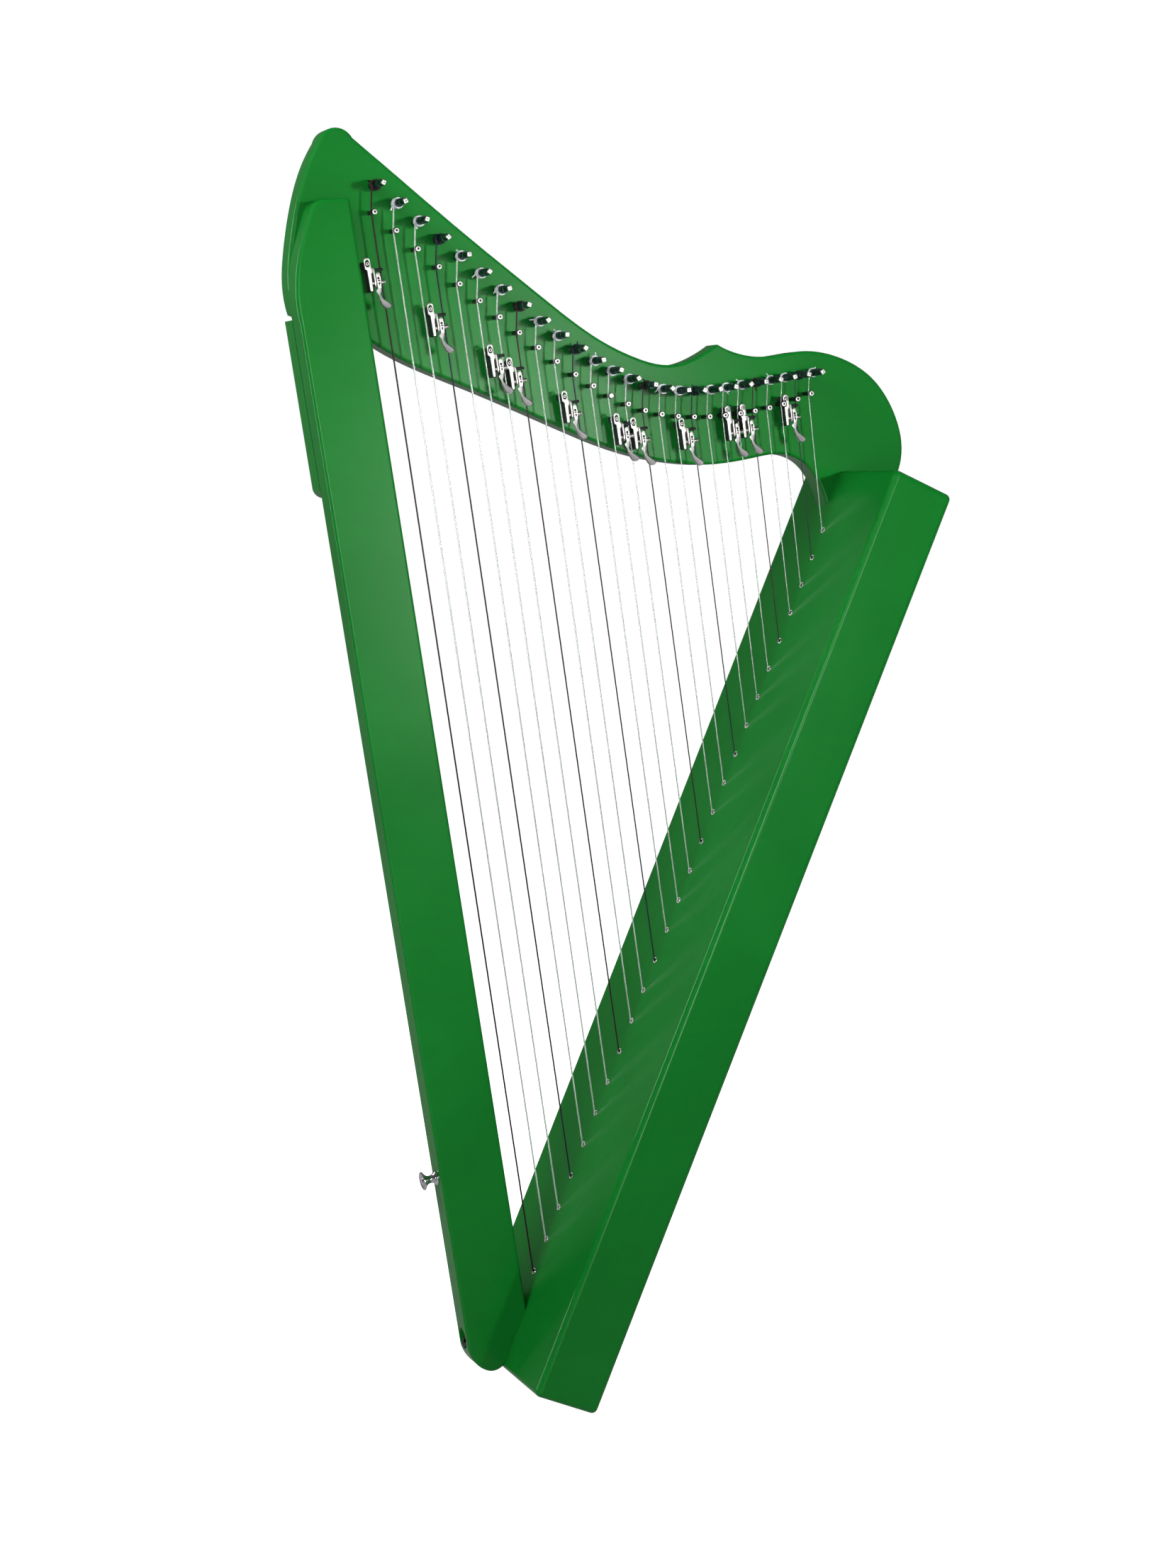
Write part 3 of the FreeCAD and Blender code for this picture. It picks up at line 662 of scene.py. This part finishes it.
def winding_piece(number, centre):
    """One layer of string: a ring in the strings' plane, turns towards the neck, then the cut tail."""
    rng = random.Random(500 + number)
    r = string_radius(number)
    radius = PIN_R + r + COIL_GAP
    pitch = 2 * r * 1.03
    turns = rng.choice((2, 3, 3)) + rng.uniform(0.0, 0.4)
    tail_angle = math.radians(rng.uniform(20, 330))
    path = []
    for k in range(int(turns * COIL_STEPS) + 1):
        a = tail_angle - 2 * math.pi * (turns - k / COIL_STEPS)
        depth = pitch * (1 + 0.98 * k / COIL_STEPS)
        path.append(centre + Vector((radius * math.cos(a), depth, radius * math.sin(a))))
    # the tail leaves the pin sideways and curls away from it
    last = path[-1]
    out = last - centre
    out.y = 0
    out.normalize()
    ahead = Vector((-out.z, 0, out.x))
    reach = rng.uniform(1.2, 2.6)
    curl = rng.uniform(-0.35, 0.9)
    for k in range(1, 7):
        part = k / 6
        path.append(last + out * (reach * part * (0.5 + 0.5 * part)) + ahead * (reach * 0.8 * part)
                    + Y * (curl * part * part))
    shape = Shape()
    shape.tube(path, r, 0, 10)
    ring = []
    for k in range(COIL_STEPS):
        a = 2 * math.pi * k / COIL_STEPS
        ring.append(centre + Vector((radius * math.cos(a), 0, radius * math.sin(a))))
    shape.tube(ring, r, 0, 10, loop=True)
    colour = colour_of(number)
    shape.finish("pin_%02d_winding" % number, "pin_%02d" % number, [wound_paint[colour]],
                 None, "nylon_" + colour, crease=60)


def build_pins():
    for number in range(1, STRINGS + 1):
        centre = Vector(joints["pin_turn_%02d" % number]["pos_m"]) / MM
        pin_piece(number, centre)
        winding_piece(number, centre)


# ---------------------------------------------------------------- levers
BEND_V = -15.2              # the handle starts to bend outwards here
BEND_LENGTH = 3.0
BEND_ANGLE = math.radians(22)
BEND_Y = -4.55


def bent(v, y):
    drop = BEND_V - v
    if drop <= 0:
        return v, y
    radius = BEND_LENGTH / BEND_ANGLE
    a = min(drop / radius, BEND_ANGLE)
    over = max(drop - BEND_LENGTH, 0.0)
    lift = BEND_Y - y
    new_v = BEND_V - radius * math.sin(a) + lift * math.sin(a) - over * math.cos(a)
    out = radius * (1 - math.cos(a)) + lift * math.cos(a) + over * math.sin(a)
    return new_v, BEND_Y - out


# the arm and paddle: left and right edge (u, v) of each cross-section, from the pivot end to the tip
ARM = (((-4.85, -11.2), (-2.35, -11.2)), ((-5.15, -11.9), (-2.40, -12.2)), ((-6.35, -13.0), (-2.50, -13.3)),
       ((-6.15, -14.2), (-2.85, -14.4)), ((-5.55, -15.2), (-3.50, -15.3)), ((-5.20, -16.2), (-3.70, -16.2)),
       ((-5.22, -17.4), (-3.35, -17.4)), ((-5.30, -18.8), (-2.75, -18.7)), ((-5.15, -20.4), (-1.75, -20.1)),
       ((-4.90, -22.0), (-0.55, -21.2)), ((-4.55, -23.5), (0.75, -22.2)), ((-4.05, -24.7), (1.75, -23.3)),
       ((-3.20, -25.5), (2.00, -24.2)), ((-2.20, -25.9), (1.55, -25.0)), ((-1.20, -26.0), (0.70, -25.6)))
HANDLE_T = 1.1
HANDLE_FRONT = BEND_Y - HANDLE_T / 2
HANDLE_BACK = BEND_Y + HANDLE_T / 2
PLATE_FRONT = -2.4
PLATE_BACK = -1.2
SCREW_FRONT = -2.9
SCREW_BACK = -1.9
FAR_AWAY = (-30, 30)        # a bridge pin that no lever reaches
# the faces at both edges of each cross-section get the brighter nickel: a painted highlight along the paddle's
# edges
PADDLE_RIM_HIGHLIGHT = (0, 7, 8, 17)  # the bright faces at both edges of each cross-section


def arm_rings(place):
    rings = []
    for left, right in ARM:
        middle = (Vector(left) + Vector(right)) / 2
        across = (Vector(right) - Vector(left)) / 2
        half = across.length
        blade = min(max((-middle.y - 16.5) / 3.0, 0.0), 1.0) * min(half / 1.6, 1.0)
        ring = []
        for j in range(9):
            t = 1 - 2 * j / 8
            rim = 1 - abs(t) ** 6 * 0.45
            dish = 0.45 * blade * (1 - t * t) ** 1.2
            ring.append((t, BEND_Y - HANDLE_T / 2 * rim + dish))
        for j in range(9):
            t = -1 + 2 * j / 8
            rim = 1 - abs(t) ** 6 * 0.45
            ring.append((t * 0.985, BEND_Y + HANDLE_T / 2 * rim))
        points = []
        for t, y in ring:
            flat = middle + across * t
            v, y = bent(flat.y, y)
            points.append(place(flat.x, v, y))
        rings.append(points)
    return rings


def bridge_centres():
    """The middle of each bridge pin in x and z, bass to treble."""
    places = sorted((v.co.x / MM, v.co.z / MM) for v in nodes["bridge_pins"].data.vertices)
    groups = [[places[0]]]
    for place in places[1:]:
        if place[0] - groups[-1][-1][0] > 2:
            groups.append([])
        groups[-1].append(place)
    middles = []
    for group in groups:
        zs = [z for x, z in group]
        middles.append(Vector(((group[0][0] + group[-1][0]) / 2, 0, (min(zs) + max(zs)) / 2)))
    return middles


def notched(outline, centre, radius=NOTCH_R):
    """The outline with every point that lies within the circle moved sideways onto it."""
    points = []
    for k, (u, v) in enumerate(outline):
        u2, v2 = outline[(k + 1) % len(outline)]
        steps = max(1, int(math.hypot(u2 - u, v2 - v) / 0.35))
        for j in range(steps):
            a, b = u + (u2 - u) * j / steps, v + (v2 - v) * j / steps
            if math.hypot(a - centre[0], b - centre[1]) < radius:
                a = centre[0] + math.sqrt(radius ** 2 - (b - centre[1]) ** 2)
            points.append((a, b))
    return points


class Lever:
    """Places points in a lever's own frame: u to the right, v up the string, y towards the neck."""

    def __init__(self, number, bridge):
        joint = joints["lever_flip_%02d" % number]
        string = LEVERS[number - 1]
        self.right = -Vector(joint["axis"]).normalized()
        self.up = Vector((-self.right.z, 0, self.right.x))
        self.touch = Vector(joint["pos_m"]) / MM - self.up * AXLE_V - Y * AXLE_Y
        beside = bridge[max(string - 2, 0)] - self.touch
        self.pin = (beside.dot(self.right), beside.dot(self.up)) if string > 1 else FAR_AWAY
        self.crowded = self.pin[1] < 8
        self.tab_u = -7.9 if self.crowded else -8.7
        self.screw_v = self.pin[1] + 3.4 if self.crowded else 4.6
        self.tab_top = self.screw_v + (2.9 if self.crowded else 4.0)
        self.base_u = -7.6 if self.crowded else -8.3
        self.fret_end = 0.7 if self.crowded or string + 1 in LEVERS else 1.1

    def place(self, u, v, y):
        return self.touch + self.right * u + self.up * v + Y * y

    def place_sideways(self, y, v, u):
        """For a flat part that stands across the neck instead of along it."""
        return self.place(u, v, y)

    def bar(self, shape, radius, u0, u1, v, y, slot=0, ease=0.2):
        """A round bar along u with eased ends."""
        length = u1 - u0
        nick = ease * 0.3
        profile = [(radius - ease, 0), (radius - nick, nick), (radius, ease),
                   (radius, length - ease), (radius - nick, length - nick), (radius - ease, length)]
        shape.lathe(profile, self.place(u0, v, y), self.right, slot, 24)


def lever_handle(number, lever):
    shape = Shape()
    blade = fillet([(-4.9, -2.5, 0.4), (-3.7, -1.6, 0.5), (-2.15, -2.1, 0.5), (-1.9, -5.2, 2.0),
                    (-2.1, -9.0, 3.0), (-2.4, -12.0, 0.4), (-4.85, -11.5, 0.4)])
    hole_u, hole_v = -3.5, -5.3
    hole = circle(hole_u, hole_v, 0.8)
    notch = fillet([(-4.5, -6.9, 0.15), (-3.2, -6.5, 0.5), (-2.4, -7.2, 0.15), (-3.3, -7.3, 0.3)], 3)
    wedge = fillet([(-4.1, -8.3, 0.15), (-2.7, -8.1, 0.2), (-3.3, -9.9, 0.2)], 3)
    shape.flat([blade, hole, notch, wedge], HANDLE_FRONT, HANDLE_BACK, lever.place, 0.16)
    # a dark disc behind the hole: painted shade, so that the hole looks dark
    shape.lathe([(1.1, 0), (1.1, 0.4)], lever.place(hole_u, hole_v, HANDLE_BACK - 0.05), Y, 2, 20)
    # the arm and paddle in the darker nickel as painted shade, their edges in the bright nickel as painted
    # highlight
    shape.skin(arm_rings(lever.place), 1, stripes=PADDLE_RIM_HIGHLIGHT)
    lever.bar(shape, 1.0, -7.4, -1.4, AXLE_V, AXLE_Y)
    lever.bar(shape, 1.9, -4.8, -2.4, AXLE_V, AXLE_Y, 2, 0.3)
    lever.bar(shape, 1.1, -2.5, 1.1, AXLE_V, AXLE_Y)
    lever.bar(shape, 1.45, -1.5, 0.15, AXLE_V, AXLE_Y, ease=0.25)
    lever.bar(shape, 1.65, 0.5, 1.3, AXLE_V, AXLE_Y, ease=0.3)
    shape.finish("lever_%02d_handle" % number, "lever_%02d" % number, [nickel, satin_nickel_painted_shade, black_oxide_and_painted_shade],
                 "lever_handle_%02d" % number, "nickel")


def build_levers():
    bridge = bridge_centres()
    plates = Shape()
    screws = Shape()
    bases = Shape()
    for number in range(1, len(LEVERS) + 1):
        lever = Lever(number, bridge)
        lever_handle(number, lever)
        tab, screw, top = lever.tab_u, lever.screw_v, lever.tab_top
        outline = fillet([(tab - 2.1, top, 2.0), (tab + 2.1, top, 2.0), (tab + 2.1, 1.9, 0.5),
                          (-5.3, 1.4, 0.3), (-5.3, -1.4, 0.3), (-6.95, -1.6, 0.6), (-7.35, -13.2, 0.7),
                          (-9.2, -13.2, 0.7), (-9.4, 0.6, 0.8), (tab - 2.1, 1.2, 1.3)])
        low = screw - (1.3 if lever.crowded else 2.0)
        high = screw + (1.3 if lever.crowded else 2.6)
        slot = fillet([(tab - 1.3, high, 1.25), (tab + 1.3, high, 1.25),
                       (tab + 1.3, low, 1.25), (tab - 1.3, low, 1.25)])
        plates.flat([notched(outline, lever.pin), slot], PLATE_FRONT, PLATE_BACK, lever.place, 0.2)
        cheek = fillet([(4.0, 1.4, 0.6), (-4.6, 1.4, 0.8), (-4.6, -11.0, 1.6), (4.0, -11.0, 0.6)])
        plates.flat([cheek, circle(AXLE_Y, AXLE_V, 1.05)], -6.2, -5.3, lever.place_sideways, 0.15)
        hexagon = circle(tab, screw, 0.7, 6, 0.3 * number)
        # a head whose rim is dark metal, painted shade, with a bright face round its socket
        head = [circle(tab, screw, 1.6), circle(tab, screw, 1.1)]
        screws.flat(head, SCREW_FRONT, SCREW_BACK, lever.place, 0.18, 1)
        face = [circle(tab, screw, 1.12), hexagon]
        screws.flat(face, SCREW_FRONT + 0.1, SCREW_BACK, lever.place, 0.1)
        # the shank, seen through the socket, is dark metal: painted shade in the socket
        screws.lathe([(1.2, 0), (1.2, 1.9)], lever.place(tab, screw, SCREW_BACK - 0.2), Y, 1, 16)
        block = fillet([(tab - 1.5, screw + 1.7, 1.5), (tab + 1.7, screw + 1.7, 1.5), (tab + 1.7, 1.7, 0.4),
                        (-6.25, 1.6, 0.3), (-6.25, -13.6, 0.5), (lever.base_u, -13.6, 0.6),
                        (lever.base_u, 0.5, 0.6), (tab - 1.5, screw - 2.0, 0.8)])
        bases.flat([notched(block, lever.pin)], PLATE_BACK, NECK_FRONT, lever.place, 0.25)
        lever.bar(bases, 1.0, -5.3, lever.fret_end, 0.0, -2.2, 1, 0.35)
    plates.finish("lever_plate_set", "harp", [nickel], "lever_plates", "nickel")
    screws.finish("lever_screw_set", "harp", [nickel, black_oxide_and_painted_shade], "lever_screws", "nickel")
    bases.finish("lever_base_set", "harp", [black_plastic, fret_black], "lever_bases", "black_plastic")


# ---------------------------------------------------------------- small turned parts
def build_bridge_pins():
    """Pins whose sides and socket floor are given a dark metal as painted shade, with a bright nickel face round a
    hexagon socket; the string lies in the groove.
    """
    shape = Shape()
    for number, centre in enumerate(bridge_centres()):
        turn = 0.5 + 0.9 * number

        def ring(y, radius, hexagon=0.0):
            points = []
            for j in range(36):
                a = 2 * math.pi * j / 36
                flat = math.cos(math.pi / 6) / math.cos((a % (math.pi / 3)) - math.pi / 6)
                size = radius * (1 + (flat - 1) * hexagon)
                points.append(centre + Vector((size * math.cos(a + turn), y, size * math.sin(a + turn))))
            return points

        # the pin's sides are dark metal: painted shade on the same metal as the bright face
        shape.skin([ring(NECK_FRONT + 10.9, STUD_R - 0.4), ring(NECK_FRONT + 10.5, STUD_R), ring(1.3, STUD_R),
                    ring(1.0, STUD_R - 0.32), ring(-1.0, STUD_R - 0.32), ring(-1.25, STUD_R + 0.3),
                    ring(-1.5, STUD_R + 0.48), ring(-2.2, STUD_R + 0.48), ring(-2.45, STUD_R + 0.3)], 0)
        shape.skin([ring(-2.45, STUD_R + 0.3), ring(-2.58, STUD_R + 0.05), ring(-2.6, STUD_R - 0.3),
                    ring(-2.58, 0.95, 1.0), ring(-1.98, 0.88, 1.0)], 1)
        # the socket floor is dark metal: painted shade in the socket
        shape.skin([ring(-2.02, 0.87, 1.0), ring(-1.7, 0.8, 1.0)], 0)
    shape.finish("bridge_pin_set", "harp", [black_oxide_and_painted_shade, nickel], "bridge_pins", "nickel", crease=40)


def build_eyelets():
    """Bright rims round bores that are given a dark metal as painted shade."""
    shape = Shape()
    rim = [(1.5, -0.4), (1.62, -0.64), (1.8, -0.7), (2.0, -0.58), (2.1, -0.35), (2.1, 0.05), (1.6, 0.05),
           (1.6, BOARD_T), (1.5, BOARD_T)]
    bore = [(1.51, -0.36), (1.3, -0.1), (1.1, 0.4), (1.1, BOARD_T - 0.05), (1.51, BOARD_T - 0.05)]
    for number in range(1, STRINGS + 1):
        mouth = eyelet_at(number, 0) / MM
        shape.lathe(rim, mouth, into, 0, 28, loop=True)
        # the bore is dark metal: painted shade inside the eyelet
        shape.lathe(bore, mouth, into, 1, 28, loop=True)
    shape.finish("eyelet_set", "harp", [nickel, black_oxide_and_painted_shade], "soundboard_eyelets", "nickel", crease=50)


KNOT_R = 1.25
KNOT_STEPS = 48


def build_knots():
    """A trefoil under the rib at the end of each string."""
    shape = Shape()
    slots = ("clear", "red", "black")
    for number in range(1, STRINGS + 1):
        r = string_radius(number)
        base = eyelet_at(number, BOARD_T + RIB_T) / MM + into * (r * 2.2)
        path = []
        for k in range(KNOT_STEPS):
            a = 2 * math.pi * k / KNOT_STEPS
            x = math.sin(a) + 2 * math.sin(2 * a)
            y = math.cos(a) - 2 * math.cos(2 * a)
            z = -math.sin(3 * a)
            flat = along * (x * KNOT_R / 3) + Y * (y * KNOT_R / 3)
            path.append(base + flat * (0.75 + r) + into * (z * r * 0.95))
        shape.tube(path, r * 0.92, slots.index(colour_of(number)), 8, loop=True)
    paints = [string_paint[colour] for colour in slots]
    shape.finish("tied_knots", "harp", paints, "string_knots", "nylon_clear", crease=60)


BUTTON_HEIGHT = 11.0


def build_buttons():
    shape = Shape()
    profile = [(2.0, -14.0), (2.0, -0.01), (5.0, 0.0), (5.15, 0.35), (5.0, 1.0), (4.3, 1.7), (3.4, 2.1),
               (3.05, 2.6), (3.3, 3.0), (2.85, 3.5), (2.6, 4.6), (2.65, 5.6), (3.1, 7.0), (4.2, 8.4),
               (5.6, 9.3), (6.3, 9.7), (6.4, 10.1), (6.25, 10.5), (5.7, 10.75), (4.9, 10.7), (4.4, 10.45),
               (2.2, 10.5), (1.9, 10.9), (0.8, BUTTON_HEIGHT)]
    for mount in frame["record"]["mounts"]:
        if mount["name"].startswith("strap_button"):
            top = Vector(mount["pos_m"]) / MM
            axis = Vector(mount["axis"]).normalized()
            shape.lathe(profile, top - axis * BUTTON_HEIGHT, axis, 0, 48)
    shape.finish("strap_button_set", "harp", [chrome], "strap_buttons", "chrome", crease=40)


# ---------------------------------------------------------------- assembly
bpy.context.scene.view_settings.view_transform = "Standard"
add_camera()
add_world()
add_light("key", (0.95, -2.05, 0.84), (0.05, 0, 0.72), 0.10, 2.5, spread=44)
add_light("upper", (-0.55, -0.8, 1.2), (-0.08, 0, 0.75), 0.5, 3)
add_light("left", (-1.2, -0.3, 1.5), (0.3, 0, 0.7), 0.8, 22)
add_light("low", (-0.8, -2.2, 0.15), (0.05, 0, 0.12), 0.9, 2.5, spread=56)
add_light("rim", (-0.9, 1.5, 1.3), (0.05, 0, 0.45), 0.9, 12)
add_light("panel", (0.79, -2.03, 0.56), (0.05, 0, 0.575), 0.28, 5.6, tall=0.60, mirrored=True)
add_light("edge_front", (-0.35, -2.3, 0.6), (0, 0, 0.5), 0.14, 16, tall=1.1, mirrored=True)
add_light("edge_back", (-1.3, 1.2, 0.75), (0.05, 0, 0.5), 0.16, 9, tall=1.2, mirrored=True)
add_floor()

finishes = {
    "neck": paint_neck,
    "pillar": paint_pillar,
    "pillar_backer": paint_pillar,
    "soundboard": paint_board,
    "side_near": paint_near,
    "side_far": paint_far,
    "back_panel": paint_back,
    "top_block": paint_top_block,
    "bottom_block": paint_low_block,
    "string_rib": rib_wood,
    "pillar_bolt": black_oxide_and_painted_shade,
    "stand_insert": brass,
    "strings_red": string_paint["red"],
    "strings_black": string_paint["black"],
    "strings_clear": string_paint["clear"],
}
for node, finish in finishes.items():
    dress(node, finish)

build_pins()
build_levers()
build_bridge_pins()
build_eyelets()
build_knots()
build_buttons()
add_light("sheen", (0.8, -2.1, 0.7), (0, 0, 0.7), 1.3, 3.6, mirrored=True, only=front_metals)
add_light("sheen_back", (-0.54, 1.85, 0.9), (0, 0, 0.4), 1.1, 9, mirrored=True, only=ring_metals)
